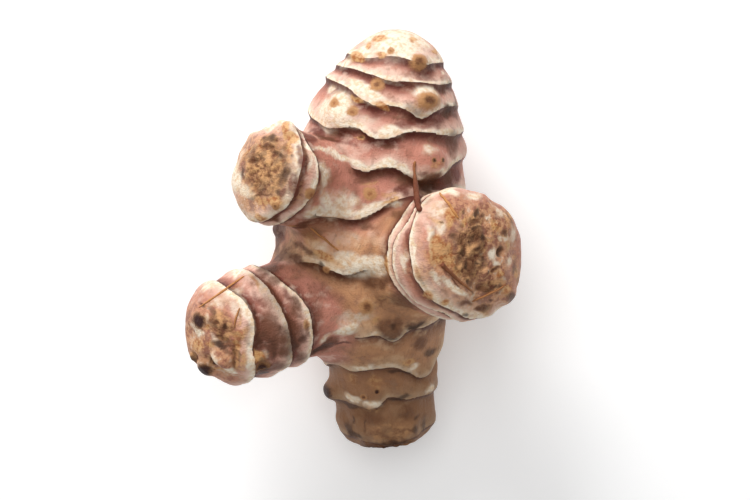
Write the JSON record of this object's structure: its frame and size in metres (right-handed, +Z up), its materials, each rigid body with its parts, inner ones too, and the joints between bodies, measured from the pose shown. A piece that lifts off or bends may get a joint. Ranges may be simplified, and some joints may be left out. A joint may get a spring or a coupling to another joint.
{
  "type": "jerusalem artichoke",
  "caption": "Knobbly pinkish-brown root vegetable tuber with ringed skin, blunt side knobs, buds and a few dried root threads, lying on its back.",
  "frame": {"origin": "on the surface that the tuber lies on, under the centre of its bounding box", "axes": "+Z up; +Y along the trunk from its foot to its head; +X towards the side of the thickest knob"},
  "size_m": [0.078, 0.1021, 0.0601],
  "materials": {
    "tuber_skin": "satin thin skin: pinkish mauve to cream bands, tan buds and rough brown corky patches",
    "dried_root": "matt dried root fibre"
  },
  "bodies": {
    "root": {"tuber": "tuber_skin", "root_thread_waist": "dried_root", "root_thread_shoulder": "dried_root", "root_thread_right_ring": "dried_root", "root_thread_right_face": "dried_root", "root_thread_right_edge": "dried_root", "root_thread_left_side": "dried_root", "root_thread_left_ring": "dried_root"}
  },
  "joints": []
}
